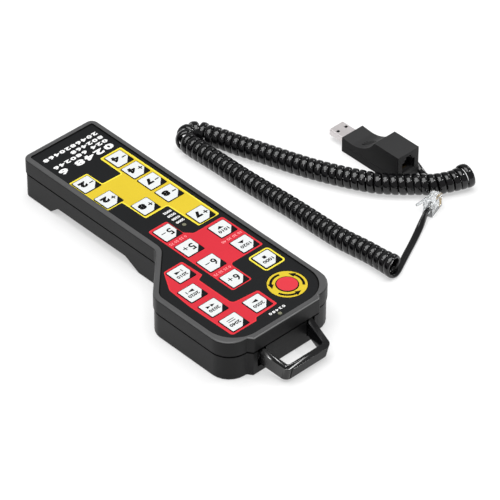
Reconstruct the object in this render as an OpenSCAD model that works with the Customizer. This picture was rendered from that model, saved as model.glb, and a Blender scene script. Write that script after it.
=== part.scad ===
// Hand pendant for a machine tool, its curly cord and its USB adapter.
// +Y runs from the handle to the head, +Z is the key face, and z = 0 is the surface it lies on.

/* [Case] */
// Width of the head, across both sides
head_w = 88; // [86:1:96]
// Distance from the origin to the head's end wall
head_end = 106.5; // [105:0.5:112]
// Distance from the origin to the handle's end wall
handle_end = 110.5; // [108:0.5:120]
// Distance of the handle's short side from the head's centreline
handle_near = 13.5; // [13:0.5:16]
// Where the handle's short side turns into the sloping shoulder
shoulder_y = 11.5; // [8:0.5:13]
// Height of the closed case, underside to rim
case_h = 28.8; // [28:0.1:34]
// Height of the seam between the two shells
seam_z = 18.4; // [18.2:0.1:19]
// Thickness of the case walls
wall = 2.2; // [1.8:0.1:2.6]
// Radius of the head's end corners in plan
head_r = 14; // [10:0.5:14]
// Radius of the handle's end corners in plan
handle_r = 5; // [4:0.5:8]
// Size of the small bevel round the rim's outer edge
edge_bevel = 1.2; // [0.6:0.1:1.6]
// How far the lower shell stands in from the upper one
lower_step = 0.6; // [0.3:0.1:0.8]
// Depth of the finger recess under the handle
grip_depth = 6.5; // [3:0.5:8]

/* [Face] */
// Width of the rim between the case's side and the overlay
rim_w = 3.5; // [3:0.1:4]
// How far the overlay's recess lies below the rim
face_drop = 1.6; // [1.2:0.1:2]
// Thickness of the printed overlay
overlay_t = 1; // [0.6:0.1:1.2]
// Radius of the overlay's corners at the head's end
overlay_r = 19; // [12:1:20]
// Gap round the overlay and round each key
face_gap = 0.25; // [0.15:0.05:0.4]

/* [Keys] */
// Side of a square key
key_w = 13; // [11:0.5:13.5]
// Height of a key's top above the overlay
key_proud = 0.3; // [0.1:0.1:0.6]
// Thickness of a key's plate
key_t = 0.7; // [0.5:0.1:0.8]
// Travel of a key
key_travel = 0.5; // [0.3:0.1:0.5]
// Diameter of the stem under a key
stem_d = 3.6; // [3:0.1:4]
// Diameter of the emergency stop button
stop_d = 13.7; // [12:0.1:16]
// Diameter of the two lights
led_d = 2.6; // [2:0.1:3]
// Clearance round a stem or a light in the case
stem_gap = 0.4; // [0.2:0.05:0.6]
// Distance of the outer key column from the case's long side
column_far = 15; // [13:0.5:17]

/* [Inside] */
// Thickness of the circuit board
board_t = 1.6; // [1.2:0.1:1.8]
// Height of a tact switch's body
switch_h = 3.5; // [3:0.1:3.6]
// Side of a tact switch
switch_w = 6; // [5:0.5:6.5]
// Outer diameter of a screw boss
boss_d = 7; // [6.4:0.1:7.4]
// Diameter of a case screw
screw_d = 3; // [2.5:0.1:3]
// Diameter of a case screw's head
screw_head_d = 5.4; // [5:0.1:5.8]
// Clearance round a screw
screw_gap = 0.2; // [0.1:0.05:0.3]

/* [Hanger loop] */
// Width of the plinth that the loop hangs from
plinth_w = 53; // [50:1:54]
// How far the plinth stands out from the head's end wall
plinth_out = 3.3; // [2:0.1:4]
// Thickness of the loop's bar, seen from above
bar_t = 4; // [3:0.1:5]
// Height of the loop's bar
bar_h = 9; // [7:0.1:9.2]
// Length of the loop from its hinge axis to its outer face
loop_len = 24.5; // [22:0.5:26]
// Half width of the loop at its hinge
loop_root = 22.3; // [20:0.1:22.5]
// Half width of the loop at its outer bar
loop_tip = 17.4; // [15:0.1:19]
// Diameter of the hinge pins
pin_d = 3; // [2.5:0.1:3.4]
// Running clearance of the loop on its pins, on the radius
pin_gap = 0.05; // [0.02:0.01:0.1]
// How far the loop hangs down from level, in degrees
droop = 14; // [12:1:16]

/* [Plug and socket] */
// Width of the modular plug
plug_w = 9.65; // [9.4:0.05:9.9]
// Thickness of the modular plug
plug_t = 6.6; // [6.2:0.1:6.8]
// Length of the modular plug's body
plug_len = 14; // [13:0.5:15]
// Clearance between a plug and a socket, on each side
socket_gap = 0.3; // [0.2:0.05:0.4]
// Number of contacts in a plug and in a socket
contacts = 6; // [4:1:6]
// Pitch of the contacts
contact_pitch = 1.02; // [0.9:0.02:1.1]
// Length of a plug's latch, from its hinge to its tip
latch_len = 14.5; // [13:0.5:15]
// Angle at which a latch stands off its plug, in degrees
latch_rise = 20; // [18:1:22]

/* [Adapter] */
// Width of the adapter
adapter_w = 18.1; // [17.6:0.1:19]
// Length of the adapter's body
adapter_len = 49.2; // [47:0.1:52]
// Height of the adapter's rear block
adapter_h = 21.9; // [21.9:0.1:24]
// Height of the adapter's nose
nose_h = 10.8; // [10.4:0.1:12]
// Thickness of the adapter's walls
adapter_wall = 1.8; // [1.4:0.1:2]
// Height of the seam between the adapter's shells
adapter_seam = 5.4; // [5:0.1:6]
// Radius of the hollow between nose and rear block
saddle_r = 22; // [20:0.5:24]
// Width of the USB shell
usb_w = 12; // [11.8:0.1:12.2]
// Height of the USB shell
usb_h = 4.5; // [4.4:0.1:4.6]
// Length of the USB shell outside the adapter
usb_out = 14.4; // [12:0.1:16]

/* [Cord] */
// Outer diameter of the coil
coil_d = 13.5; // [12:0.5:13.5]
// Width of the flat cable
cable_w = 4.4; // [4:0.1:4.8]
// Thickness of the flat cable
cable_t = 2.2; // [2:0.1:2.4]

/* [Hidden] */

$fn = 32;
cut = 0.01;

// Levels inside the case.
half_w = head_w / 2;
face_z = case_h - face_drop;
overlay_z = face_z + overlay_t;
deck_z = face_z - wall;
key_top = overlay_z + key_proud;
key_under = key_top - key_t;
plunger_gap = 0.1;
plunger_d = 3.4;
plunger_out = 0.7;
plunger_room = 0.8;
plunger_top = deck_z - plunger_room;
board_top = plunger_top - plunger_out - switch_h;
board_z = board_top - board_t;
stem_end = plunger_top + key_travel + plunger_gap;
key_r = 1;

// Plan of the case.
shoulder_r = 6;
shoulder_out_r = 11;
plinth_bevel = 2.4;
plinth_r = 0.8;
foot_bevel = 0.9;
foot_h = 1;
plinth_y = head_end + plinth_out;
overlay_end = head_end - 0.5;

// Screws: one boss of each shell meets on the board at each of these places.
boss_inset = 8;
boss_foot = 7.5;
boss_head = 9.5;
boss_waist = 6;
boss_neck = 5;
SCREWS = [[-half_w + boss_inset, -handle_end + boss_foot],
          [handle_near - boss_inset, -handle_end + boss_foot],
          [-half_w + boss_waist, 8],
          [handle_near - boss_neck, 10],
          [half_w - boss_inset, 50],
          [half_w - boss_inset, head_end - boss_head],
          [-half_w + boss_inset, head_end - boss_head]];
screw_seat = 6;
screw_head_h = 2.4;
screw_top_gap = 0.6;
screw_top = deck_z - screw_top_gap;
bite = 0.1;

// Small screws that hold the board up against the deck's short posts.
BOARD_SCREWS = [[-16, -86], [-12, -58], [4, -20], [10, 24], [-16, 72]];
board_screw_d = 2;
board_screw_head = 3.8;
board_screw_head_h = 1;
board_screw_short = 1.4;
board_post_d = 4.6;

// Keys: name, place across and place along.
col_far = -half_w + column_far;
col_near = half_w - 19.6;
KEYS = [["key_a_minus", col_far, -69], ["key_a_plus", col_far, -54], ["key_y_minus", col_far, -39],
        ["key_x_minus", col_far, -23.5], ["key_y_plus", col_far, 4.5], ["key_speed_down", col_far, 23.5],
        ["key_speed_up", col_far, 42.7], ["key_stop", col_far, 62], ["key_z_minus", 2.2, -63.6],
        ["key_z_plus", 2.2, -43.5], ["key_x_plus", -9.8, -23.5], ["key_jog_down", -2.5, 4],
        ["key_jog_up", -2.5, 23.2], ["key_feed_down", -2.5, 42.4], ["key_feed_up", -2.5, 62],
        ["key_origin", col_near - 6.9, 37.7], ["key_single_step", col_near, 55.2],
        ["key_redo", col_near, 72.9],
        ["key_spindle", col_near, 90.5], ["key_cycle_start", 2.9, 87.5]];
STOP = [col_far + 7.2, 86.9];
POWER_LED = [-0.7, 102.8];
STATUS_LED = [-15.3, 4.8];

// Hanger loop.
hinge_y = head_end - 2;
hinge_z = 12.2;
knuckle_w = bar_t + 0.3;
pocket_in = loop_root - knuckle_w - 1.6;
pocket_out = loop_root + 0.6;
pocket_z = 5;
pocket_h = hinge_z - pocket_z + bar_h / 2 + 0.6;
pocket_back = hinge_y - bar_h / 2 - 0.6;
pin_seat = 2;
block_h = seam_z - 0.2;

// Modular socket.
jack_w = 13.4;
jack_d = 16;
jack_h = 13.8;
jack_floor = 2;
jack_open_w = plug_w + 2 * socket_gap;
jack_open_h = plug_t + 2 * socket_gap;
jack_open_d = 12.5;
notch_w = [6.2, 3.6];
notch_h = [1.8, 1.6];
pendant_jack = [-15, -handle_end + wall + lower_step, wall];

// Adapter, in its own frame: nose at the origin, rear block along +Y.
adapter_at = [-168.85, -7.6, 0];
saddle_back = 40.6;
saddle_y = adapter_len - saddle_back;
saddle_low = 0.7;
rib_h = 0.4;
rib_t = 1.5;
rib_inset = 12;
pcb_z = adapter_wall + rib_h;
pcb_t = 1;
pcb_top = pcb_z + pcb_t;
usb_wall = 0.3;
usb_in = 8;
usb_gap = 0.1;
tongue_t = 1.9;
adapter_jack_z = adapter_h - adapter_wall - jack_h;
adapter_jack_y = adapter_len - adapter_wall - jack_d;
adapter_jack_gap = 0.55;
adapter_jack_w = adapter_w - 2 * (adapter_wall + adapter_jack_gap);
jack_leg = 1.5;

// Cord route, chosen by hand, on the surface that everything lies on.
coil_r = coil_d / 2;
COIL = [[-98, 96], [-97, 87], [-96, 79], [-94.5, 69], [-93, 57], [-92.6, 40], [-92.2, 20], [-91, -3],
        [-90, -24], [-89.8, -44], [-89.2, -60], [-89.2, -67], [-89.4, -72], [-90.4, -75.6], [-93, -78.4],
        [-96.6, -79.3], [-100.2, -78.3], [-102.8, -75.6], [-103.9, -72], [-104.6, -67.5], [-106.2, -62],
        [-109.7, -47.7], [-114.2, -34], [-119.3, -18], [-125.5, -1], [-132, 13.5], [-139.5, 28],
        [-145.5, 37.8], [-154.8, 47.3], [-164, 54.8], [-171, 60.5], [-179, 65], [-188, 67.5]];
coil_sides = 12;
coil_cuts = [0, 10, 20, 27, 32];
plug_mid = plug_w / 2;
// Plug places: mouth x, mouth y, heading, and which way its latch faces.
PLUG_FRONT = [-152.5, 74.6, 199, 1];
PLUG_REAR = [-181.7, 28.5, -90, -1];
cable_grip = 5;
cable_z = cable_t / 2 + 0.1;
// Place inside a plug, deep along its heading.
function plug_point(p, deep) = [p[0] + deep * cos(p[2]), p[1] + deep * sin(p[2]), plug_mid, 90];
// Each tail point is x, y, z and the flat cable's twist.
TAIL_FRONT = [[-95, 97, cable_z, 0], [-99, 98.5, cable_z, 0], [-103, 97.7, cable_z, 0],
              [-107.5, 95.8, cable_z, 0], [-118, 89.2, cable_z, 0], [-127.5, 84.8, cable_z, 0],
              [-137, 80.7, 1.8, 15], [-145, 77.4, 3.4, 50], [-150, 75.5, 4.6, 80],
              plug_point(PLUG_FRONT, 0), plug_point(PLUG_FRONT, cable_grip)];
TAIL_REAR = [[-187.8, 65.5, cable_z, 0], [-189, 60.5, cable_z, 0], [-188, 55.5, cable_z, 0],
             [-185.3, 50.5, cable_z, 0], [-182.7, 45.5, cable_z, 0], [-181.5, 40, 1.8, 15],
             [-181.4, 35, 3.4, 50], [-181.6, 31, 4.6, 80],
             plug_point(PLUG_REAR, 0), plug_point(PLUG_REAR, cable_grip)];

// ---- Plan outlines -------------------------------------------------------------------------

// Corners are [x, y, radius], anticlockwise. arc_step is the largest turn of one arc segment.
arc_step = 12;

function unit(v) = v / norm(v);
function left_of(d) = [-d[1], d[0]];
function wrap(i, n) = (i + n) % n;
function spot(c) = [c[0], c[1]];

// Arc that rounds corner i of the list, with every edge moved inwards by inset.
function corner_arc(list, i, inset) =
    let(
        n = len(list),
        before = unit(spot(list[i]) - spot(list[wrap(i - 1, n)])),
        after = unit(spot(list[wrap(i + 1, n)]) - spot(list[i])),
        side = sign(cross(before, after)),
        turn = acos(max(-1, min(1, before * after))),
        r = max(list[i][2] - side * inset, 0.05),
        moved = spot(list[i]) + (left_of(before) + left_of(after)) * inset / (1 + before * after),
        centre = moved + unit(after - before) * r / cos(turn / 2),
        from = -side * left_of(before),
        start = atan2(from[1], from[0]),
        steps = ceil(turn / arc_step)
    )
    [for (k = [0 : steps]) centre + r * [cos(start + side * turn * k / steps),
                                         sin(start + side * turn * k / steps)]];

function outline(list, inset) = [for (i = [0 : len(list) - 1]) each corner_arc(list, i, inset)];

// Body plan without the plinth, for the overlay, the board and the hollow inside.
function body_plan(end_y, end_r) =
    [[-half_w, -handle_end, handle_r],
     [handle_near, -handle_end, handle_r],
     [handle_near, shoulder_y, shoulder_r],
     [half_w, shoulder_y + half_w - handle_near, shoulder_out_r],
     [half_w, end_y, end_r],
     [-half_w, end_y, end_r]];

case_plan = let(b = body_plan(head_end, head_r), p = plinth_w / 2, q = p + plinth_bevel)
    [b[0], b[1], b[2], b[3], b[4],
     [q, head_end, plinth_r], [p, plinth_y, plinth_r],
     [-p, plinth_y, plinth_r], [-q, head_end, plinth_r],
     b[5]];
inner_plan = body_plan(head_end, head_r);
overlay_plan = body_plan(overlay_end + rim_w, overlay_r + rim_w);

module plate(list, inset, low, high) {
    translate([0, 0, low])
        linear_extrude(high - low)
            polygon(outline(list, inset));
}

module rounded_square(w, r, low, high) {
    h = w / 2;
    plate([[-h, -h, r], [h, -h, r], [h, h, r], [-h, h, r]], 0, low, high);
}

// ---- Pendant -------------------------------------------------------------------------------

module upper_case() {
    color([0.2, 0.2, 0.2])
    difference() {
        union() {
            difference() {
                union() {
                    plate(case_plan, 0, seam_z, case_h - edge_bevel);
                    plate(case_plan, edge_bevel * 0.3, case_h - edge_bevel, case_h - edge_bevel * 0.3);
                    plate(case_plan, edge_bevel, case_h - edge_bevel * 0.3, case_h);
                }
                plate(inner_plan, wall, seam_z - cut, deck_z);
                plate(overlay_plan, rim_w, face_z, case_h + cut);
            }
            for (s = SCREWS)
                translate([s[0], s[1], board_top])
                    cylinder(d = boss_d, h = deck_z - board_top + cut);
            for (s = BOARD_SCREWS)
                translate([s[0], s[1], board_top])
                    cylinder(d = board_post_d, h = deck_z - board_top + cut);
        }
        for (s = SCREWS)
            translate([s[0], s[1], board_top - cut])
                cylinder(d = screw_d - bite, h = screw_top - board_top + 2 * cut);
        for (s = BOARD_SCREWS)
            translate([s[0], s[1], board_top - cut])
                cylinder(d = board_screw_d - bite, h = screw_top - board_top);
        for (k = KEYS)
            stem_hole(k[1], k[2], stem_d);
        stem_hole(STOP[0], STOP[1], stem_d);
        stem_hole(POWER_LED[0], POWER_LED[1], led_d);
        stem_hole(STATUS_LED[0], STATUS_LED[1], led_d);
    }
}

module stem_hole(x, y, d) {
    translate([x, y, deck_z - cut])
        cylinder(d = d + 2 * stem_gap, h = wall + 2 * cut);
}

module lower_case() {
    color([0.17, 0.17, 0.17])
    difference() {
        union() {
            difference() {
                union() {
                    plate(case_plan, lower_step + foot_bevel, 0, foot_h);
                    plate(case_plan, lower_step, foot_h, seam_z);
                }
                difference() {
                    plate(inner_plan, lower_step + wall, wall, seam_z + cut);
                    grip(wall);
                }
                grip(0);
            }
            for (s = SCREWS)
                translate([s[0], s[1], foot_h])
                    cylinder(d = boss_d, h = board_z - foot_h);
            for (side = [-1, 1])
                hinge_block(side);
        }
        for (s = SCREWS)
            translate([s[0], s[1], -cut])
                screw_hole();
        for (side = [-1, 1])
            pocket(side);
        translate([pendant_jack[0], pendant_jack[1] + cut, pendant_jack[2]])
            socket_window(wall + lower_step + 1);
    }
}

// Finger recess under the handle, with sloping ends; grown makes the wall over it.
grip_from = -86;
grip_to = -4;
module grip(grown) {
    rise = grip_depth + grown;
    ease = grown > 0 ? grown : 0;
    translate([-head_w, 0, 0])
        rotate([90, 0, 90])
            linear_extrude(2 * head_w)
                polygon([[grip_from - ease, -1], [grip_from - ease, 0],
                         [grip_from + grip_depth + 1 - ease, rise],
                         [grip_to - 2 * grip_depth + ease, rise],
                         [grip_to + ease, 0], [grip_to + ease, -1]]);
}

module screw_hole() {
    cylinder(d = screw_d + 2 * screw_gap, h = board_z + 1);
    cylinder(d = screw_head_d + 2 * screw_gap, h = screw_seat + cut);
}

// Solid round a loop pocket, which carries the ends of its pin.
block_w = pocket_out - pocket_in + 2 * pin_seat + 2;
function block_low(side) = side > 0 ? pocket_in - pin_seat - 1 : -pocket_out - pin_seat - 1;
module hinge_block(side) {
    translate([block_low(side), pocket_back - wall, foot_h])
        cube([block_w, head_end - pocket_back, block_h - foot_h]);
}

module pocket(side) {
    low = side > 0 ? pocket_in : -pocket_out;
    translate([low, pocket_back, pocket_z])
        cube([pocket_out - pocket_in, plinth_y - pocket_back + 1, pocket_h]);
    translate([low - pin_seat, hinge_y, hinge_z])
        rotate([0, 90, 0])
            cylinder(d = pin_d, h = pocket_out - pocket_in + 2 * pin_seat);
}

module hanger_pins() {
    color([0.7, 0.7, 0.7])
    for (low = [-pocket_out, pocket_in])
        translate([low - pin_seat, hinge_y, hinge_z])
            rotate([0, 90, 0])
                cylinder(d = pin_d, h = pocket_out - pocket_in + 2 * pin_seat);
}

module face_overlay() {
    color([0.13, 0.13, 0.13])
    difference() {
        plate(overlay_plan, rim_w + face_gap, face_z, overlay_z);
        for (k = KEYS)
            translate([k[1], k[2], 0])
                rounded_square(key_w + 2 * face_gap, key_r, face_z - cut, overlay_z + cut);
        translate([STOP[0], STOP[1], face_z - cut])
            cylinder(d = stop_d + 2 * face_gap, h = overlay_t + 2 * cut);
        for (p = [POWER_LED, STATUS_LED])
            translate([p[0], p[1], face_z - cut])
                cylinder(d = led_d + 2 * face_gap, h = overlay_t + 2 * cut);
    }
}

module key(k) {
    color([0.93, 0.93, 0.93])
    translate([k[1], k[2], 0]) {
        rounded_square(key_w, key_r, key_under, key_top);
        translate([0, 0, stem_end])
            cylinder(d = stem_d, h = key_under - stem_end + cut);
    }
}

module emergency_stop_button() {
    color([0.9, 0.2, 0.22])
    translate([STOP[0], STOP[1], 0]) {
        translate([0, 0, key_under])
            cylinder(d = stop_d, h = key_t);
        translate([0, 0, stem_end])
            cylinder(d = stem_d, h = key_under - stem_end + cut);
    }
}

board_gap = 0.4;
board_inset = lower_step + wall + board_gap / 2;
module circuit_board() {
    color([0.1, 0.35, 0.2])
    difference() {
        plate(inner_plan, board_inset, board_z, board_top);
        for (side = [-1, 1])
            translate([block_low(side) - board_gap, pocket_back - wall - board_gap, board_z - cut])
                cube([block_w + 2 * board_gap, head_end, board_t + 2 * cut]);
        translate([pendant_jack[0] - jack_w / 2 - board_gap, -handle_end, board_z - cut])
            cube([jack_w + 2 * board_gap, wall + lower_step + jack_d + board_gap, board_t + 2 * cut]);
        for (s = SCREWS)
            translate([s[0], s[1], board_z - cut])
                cylinder(d = screw_d + 2 * screw_gap, h = board_t + 2 * cut);
        for (s = BOARD_SCREWS)
            translate([s[0], s[1], board_z - cut])
                cylinder(d = board_screw_d + 2 * screw_gap, h = board_t + 2 * cut);
    }
}

module tact_switches() {
    color([0.15, 0.15, 0.17])
    for (p = concat([for (k = KEYS) [k[1], k[2]]], [STOP]))
        translate([p[0], p[1], board_top]) {
            translate([-switch_w / 2, -switch_w / 2, 0])
                cube([switch_w, switch_w, switch_h]);
            cylinder(d = plunger_d, h = plunger_top - board_top);
        }
}

// One large chip and two small ones on the board's underside.
CHIPS = [[-12, -82, 14, 10], [-2, -94, 6, 5], [14, 66, 10, 10]];
chip_t = 1.2;
module controller_chips() {
    color([0.1, 0.1, 0.1])
    for (c = CHIPS)
        translate([c[0], c[1], board_z - chip_t])
            cube([c[2], c[3], chip_t]);
}

module led(at) {
    translate([at[0], at[1], board_top])
        cylinder(d = led_d, h = overlay_z - board_top);
}

module power_led() {
    color([0.5, 0.5, 0.4])
    led(POWER_LED);
}

module status_led() {
    color([0.5, 0.5, 0.4])
    led(STATUS_LED);
}

module case_screws() {
    color([0.6, 0.6, 0.6])
    for (s = SCREWS)
        translate([s[0], s[1], 0]) {
            translate([0, 0, screw_seat - screw_head_h])
                difference() {
                    cylinder(d = screw_head_d, h = screw_head_h);
                    translate([-screw_head_d / 3, -0.4, -cut])
                        cube([screw_head_d * 2 / 3, 0.8, 1]);
                    translate([-0.4, -screw_head_d / 3, -cut])
                        cube([0.8, screw_head_d * 2 / 3, 1]);
                }
            translate([0, 0, screw_seat])
                cylinder(d = screw_d, h = screw_top - screw_seat);
        }
}

module board_screws() {
    color([0.6, 0.6, 0.6])
    for (s = BOARD_SCREWS)
        translate([s[0], s[1], 0]) {
            translate([0, 0, board_z - board_screw_head_h])
                cylinder(d = board_screw_head, h = board_screw_head_h);
            translate([0, 0, board_z])
                cylinder(d = board_screw_d, h = screw_top - board_screw_short - board_z);
        }
}

// ---- Hanger loop ---------------------------------------------------------------------------

loop_corner = 4.5;
module hanger_loop() {
    root_in = loop_root - knuckle_w;
    tip_in = loop_tip - bar_t + (loop_root - loop_tip) * bar_t / loop_len;
    color([0.06, 0.06, 0.06])
    translate([0, hinge_y, hinge_z])
    rotate([-droop, 0, 0])
    difference() {
        union() {
            difference() {
                plate([[-loop_root, 0, 0.1], [loop_root, 0, 0.1], [loop_tip, loop_len, loop_corner],
                       [-loop_tip, loop_len, loop_corner]], 0, -bar_h / 2, bar_h / 2);
                plate([[-root_in, -1, 0.1], [root_in, -1, 0.1], [tip_in, loop_len - bar_t, 1.5],
                       [-tip_in, loop_len - bar_t, 1.5]], 0, -bar_h, bar_h);
            }
            for (low = [-loop_root, root_in])
                translate([low, 0, 0])
                    rotate([0, 90, 0])
                        cylinder(d = bar_h, h = knuckle_w);
        }
        translate([-loop_root - 1, 0, 0])
            rotate([0, 90, 0])
                cylinder(d = pin_d + 2 * pin_gap, h = 2 * loop_root + 2);
    }
}

// ---- Modular socket: the block stands with its mouth towards -Y --------------------------

module mouth(depth, extra) {
    w = jack_open_w + 2 * extra;
    translate([-w / 2, 0, jack_floor - extra])
        cube([w, depth, jack_open_h + 2 * extra]);
    for (i = [0, 1])
        translate([-notch_w[i] / 2 - extra, 0, jack_floor + jack_open_h + i * notch_h[0] - cut])
            cube([notch_w[i] + 2 * extra, depth, notch_h[i] + extra + cut]);
}

module jack_block(w) {
    difference() {
        translate([-w / 2, 0, 0])
            cube([w, jack_d, jack_h]);
        translate([0, -cut, 0])
            mouth(jack_open_d, 0);
    }
}

// Spring wires on the mouth's floor.
module jack_wires() {
    first = -(contacts - 1) * contact_pitch / 2;
    for (i = [0 : contacts - 1])
        translate([first + i * contact_pitch - 0.2, 2, jack_floor])
            cube([0.4, jack_open_d - 2, 0.6]);
}

module socket_window(depth) {
    translate([0, -depth, 0])
        mouth(depth, 0.2);
}

module cord_socket() {
    color([0.1, 0.1, 0.1])
    translate(pendant_jack)
        jack_block(jack_w);
}

module cord_socket_contacts() {
    color([0.85, 0.7, 0.3])
    translate(pendant_jack)
        jack_wires();
}

// ---- Adapter -------------------------------------------------------------------------------

// Side profile, [along, up], with every face moved inwards by inset.
function adapter_profile(inset) =
    let(
        low = nose_h - saddle_low,
        r = saddle_r + inset,
        top = adapter_h - inset,
        sweep = acos((low + saddle_r - top) / r)
    )
    concat(
        [[inset, inset], [adapter_len - inset, inset], [adapter_len - inset, top]],
        [for (k = [10 : -1 : 0])
            [saddle_y + r * sin(sweep * k / 10), low + saddle_r - r * cos(sweep * k / 10)]],
        [[inset, nose_h - inset]]);

module adapter_form(inset) {
    translate([-adapter_w / 2 + inset, 0, 0])
        rotate([90, 0, 90])
            linear_extrude(adapter_w - 2 * inset)
                polygon(adapter_profile(inset));
}

module adapter_half(low, high) {
    translate(adapter_at)
    difference() {
        intersection() {
            adapter_form(0);
            translate([-adapter_w, -1, low])
                cube([2 * adapter_w, adapter_len + 2, high - low]);
        }
        adapter_form(adapter_wall);
        translate([-usb_w / 2 - usb_gap, -1, pcb_top - usb_gap])
            cube([usb_w + 2 * usb_gap, adapter_wall + 2, usb_h + 2 * usb_gap]);
        translate([0, adapter_len - adapter_wall - cut, adapter_jack_z])
            rotate([0, 0, 180])
                socket_window(adapter_wall + 1);
    }
}

module adapter_upper_case() {
    color([0.22, 0.22, 0.22])
    adapter_half(adapter_seam, adapter_h + 1);
}

module adapter_lower_case() {
    color([0.16, 0.16, 0.16]) {
        adapter_half(-1, adapter_seam);
        translate(adapter_at)
            for (y = [rib_inset, adapter_len - rib_inset - rib_t])
                translate([-adapter_w / 2 + adapter_wall / 2, y, adapter_wall - cut])
                    cube([adapter_w - adapter_wall, rib_t, rib_h + cut]);
    }
}

module usb_shell() {
    color([0.8, 0.8, 0.8])
    translate(adapter_at)
    difference() {
        translate([-usb_w / 2, -usb_out, pcb_top])
            cube([usb_w, usb_out + usb_in, usb_h]);
        translate([-usb_w / 2 + usb_wall, -usb_out - 1, pcb_top + usb_wall])
            cube([usb_w - 2 * usb_wall, usb_out + usb_in + 2, usb_h - 2 * usb_wall]);
        for (x = [-3.45, 3.45])
            translate([x - 1.1, -9.8, pcb_top + usb_h - 1])
                cube([2.2, 1.9, 2]);
    }
}

module usb_tongue() {
    color([0.9, 0.9, 0.9])
    translate(adapter_at)
        translate([-usb_w / 2 + usb_wall, -usb_out + 1, pcb_top + usb_wall])
            cube([usb_w - 2 * usb_wall, usb_out + usb_in - 2, tongue_t]);
}

module usb_contacts() {
    color([0.85, 0.7, 0.3])
    translate(adapter_at)
        for (x = [-3.5, -1, 1, 3.5])
            translate([x - 0.5, -usb_out + 2, pcb_top + usb_wall + tongue_t])
                cube([1, 9, 0.2]);
}

module adapter_socket() {
    color([0.1, 0.1, 0.1])
    translate(adapter_at) {
        translate([0, adapter_jack_y + jack_d, adapter_jack_z])
            rotate([0, 0, 180])
                jack_block(adapter_jack_w);
        for (x = [-adapter_jack_w / 2, adapter_jack_w / 2 - jack_leg])
            translate([x, adapter_jack_y + 1, pcb_top])
                cube([jack_leg, jack_d - 2, adapter_jack_z - pcb_top + cut]);
    }
}

module adapter_socket_contacts() {
    color([0.85, 0.7, 0.3])
    translate(adapter_at)
        translate([0, adapter_jack_y + jack_d, adapter_jack_z])
            rotate([0, 0, 180])
                jack_wires();
}

module adapter_board() {
    color([0.1, 0.35, 0.2])
    translate(adapter_at)
        translate([-adapter_w / 2 + adapter_wall + 0.3, adapter_wall + 0.2, pcb_z])
            cube([adapter_w - 2 * adapter_wall - 0.6, adapter_len - 2 * adapter_wall - 0.4, pcb_t]);
}

module adapter_chip() {
    color([0.1, 0.1, 0.1])
    translate(adapter_at)
        translate([-3.5, 14, pcb_top])
            cube([7, 7, 1.4]);
}

// ---- Cord ----------------------------------------------------------------------------------

function ends(list, i) = [max(i - 1, 0), min(i + 1, len(list) - 1)];
function heading(list, i) =
    let(e = ends(list, i), a = list[e[0]], b = list[e[1]])
    unit([b[0] - a[0], b[1] - a[1]]);

// Ring of a flat or round section: half sizes across and up, turned by twist about the route.
function ring(at, dir, across, up, sides, twist) =
    let(side = [-dir[1], dir[0], 0])
    [for (k = [0 : sides - 1])
        let(
            a = 360 * (k + 0.5 * (sides % 4 == 0 && across != up ? 1 : 0)) / sides - 90,
            u = across * cos(a),
            v = up * sin(a)
        )
        at + side * (u * cos(twist) - v * sin(twist)) + [0, 0, u * sin(twist) + v * cos(twist)]];

module sweep_rings(rings) {
    n = len(rings[0]);
    m = len(rings);
    walls = [for (i = [0 : m - 2]) for (k = [0 : n - 1])
        let(a = i * n + k, b = i * n + (k + 1) % n)
        each [[a, a + n, b], [b, a + n, b + n]]];
    caps = [[for (k = [0 : n - 1]) k], [for (k = [n - 1 : -1 : 0]) (m - 1) * n + k]];
    polyhedron([for (r = rings) each r], concat(walls, caps));
}

coil_rings = [for (i = [0 : len(COIL) - 1])
    ring([COIL[i][0], COIL[i][1], coil_r], heading(COIL, i), coil_r, coil_r, coil_sides, 0)];

module coil_part(from, to) {
    color([0.05, 0.05, 0.05])
    sweep_rings([for (i = [from : to]) coil_rings[i]]);
}

module cord_coil_near() {
    coil_part(coil_cuts[0], coil_cuts[1]);
}

module cord_coil_bend() {
    coil_part(coil_cuts[1], coil_cuts[2]);
}

module cord_coil_middle() {
    coil_part(coil_cuts[2], coil_cuts[3]);
}

module cord_coil_far() {
    coil_part(coil_cuts[3], coil_cuts[4]);
}

module tail(points) {
    color([0.05, 0.05, 0.05])
    sweep_rings([for (i = [0 : len(points) - 1])
        let(p = points[i])
        ring([p[0], p[1], p[2]], heading(points, i), cable_w / 2, cable_t / 2, 8, p[3])]);
}

module cord_tail_front() {
    tail(TAIL_FRONT);
}

module cord_tail_rear() {
    tail(TAIL_REAR);
}

// ---- Modular plug: mouth at the origin, nose along +X, lying on its side -------------------

blade_t = 0.35;
blade_from = plug_len - 3.8;
blade_len = 3;
blade_deep = 2.4;
throat_w = cable_w + 0.4;
throat_t = cable_t + 0.4;
latch_w = 3.2;
latch_t = 1;
latch_gap = 0.15;
latch_x = plug_len - 1;
latch_y = plug_t / 2 + latch_t / 2 + latch_gap;

module plug_place(p) {
    translate([p[0], p[1], plug_mid])
        rotate([0, 0, p[2]])
            rotate([p[3] > 0 ? 0 : 180, 0, 0])
                children();
}

module blades(grow) {
    first = -(contacts - 1) * contact_pitch / 2;
    for (i = [0 : contacts - 1])
        translate([blade_from - grow, -plug_t / 2 - grow,
                   first + i * contact_pitch - blade_t / 2 - grow / 4])
            cube([blade_len + 2 * grow, blade_deep + grow, blade_t + grow / 2]);
}

module plug_body(p) {
    color([0.85, 0.87, 0.88, 0.5])
    plug_place(p)
    difference() {
        translate([0, -plug_t / 2, -plug_w / 2])
            cube([plug_len, plug_t, plug_w]);
        translate([-1, -throat_t / 2, -throat_w / 2])
            cube([cable_grip + 1, throat_t, throat_w]);
        blades(0.2);
    }
}

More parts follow.
